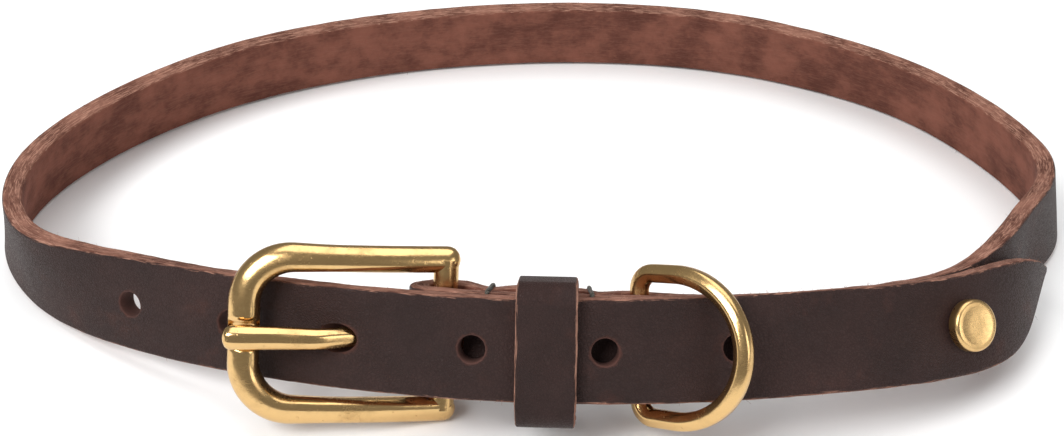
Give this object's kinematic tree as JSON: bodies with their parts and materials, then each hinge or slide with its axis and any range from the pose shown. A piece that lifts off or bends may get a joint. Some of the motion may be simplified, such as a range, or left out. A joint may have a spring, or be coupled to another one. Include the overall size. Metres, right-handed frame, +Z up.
{
  "type": "dog collar",
  "caption": "Dark brown leather dog collar, buckled: wide brass buckle with prong, leather keeper, swinging brass D-ring and a small round brass stud, standing on its edge",
  "frame": {"origin": "on the surface the collar stands on, under the middle of its box", "axes": "+X along the loop's long way, to the right as seen from the buckle side; +Y from the buckle side to the back; +Z up, across the strap's width"},
  "size_m": [0.205, 0.1368, 0.0283],
  "materials": {
    "strap_leather": "satin",
    "keeper_leather": "satin",
    "buckle_brass": "polished",
    "ring_brass": "polished",
    "stud_brass": "satin"
  },
  "bodies": {
    "collar": {"strap": "strap_leather", "keeper": "keeper_leather", "buckle_frame": "buckle_brass", "buckle_prong": "buckle_brass", "stud": "stud_brass", "stud_back": "stud_brass"},
    "d_ring": {"d_ring": "ring_brass"}
  },
  "joints": [
    {"name": "d_ring_swing", "type": "hinge", "parent": "collar", "child": "d_ring", "pos_m": [0.01583, -0.05396, 0.01316], "axis": [0.0276, -0.5489, -0.8354], "range_deg": [0, 78]}
  ]
}
